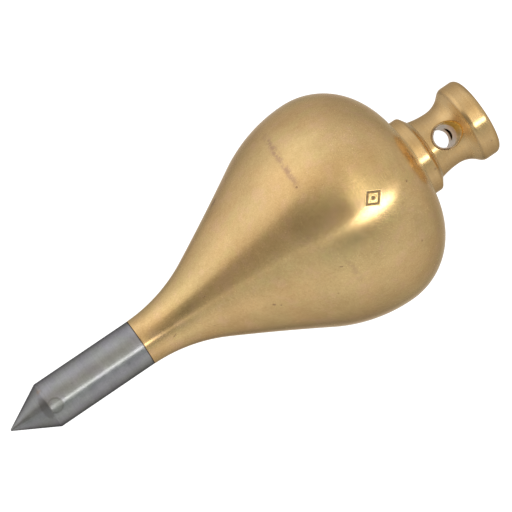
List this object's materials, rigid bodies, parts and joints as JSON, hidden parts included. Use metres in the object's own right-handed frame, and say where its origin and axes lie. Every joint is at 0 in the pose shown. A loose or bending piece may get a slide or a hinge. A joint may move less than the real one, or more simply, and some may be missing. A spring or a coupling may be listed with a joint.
{
  "type": "plumb bob",
  "caption": "Turned brass plumb bob: teardrop weight with a screwed-in steel point and a waisted screw cap with a cord bore and a cross hole.",
  "frame": {"origin": "centre of the cap's top face, at the mouth of the cord bore, where the cord leaves the bob", "axes": "+Z along the bob's axis, up the cord and away from the point; -Y looks into the cross hole of the cap; the bob is stored hanging, point down"},
  "size_m": [0.0508, 0.0508, 0.1222],
  "materials": {
    "weight_brass": "satin turned and lightly polished, a little handled",
    "cap_brass": "bright turned",
    "point_steel": "fine turned, dull grey"
  },
  "bodies": {
    "weight": {"body": "weight_brass"},
    "cap": {"cord_cap": "cap_brass"},
    "point": {"steel_point": "point_steel"}
  },
  "joints": [
    {"name": "cap_unscrew", "type": "hinge", "parent": "weight", "child": "cap", "pos_m": [0, 0, -0.0184], "axis": [0, 0, 1], "range_deg": [0, 2070]},
    {"name": "point_unscrew", "type": "hinge", "parent": "weight", "child": "point", "pos_m": [0, 0, -0.08875], "axis": [0, 0, -1], "range_deg": [0, 3060]}
  ]
}
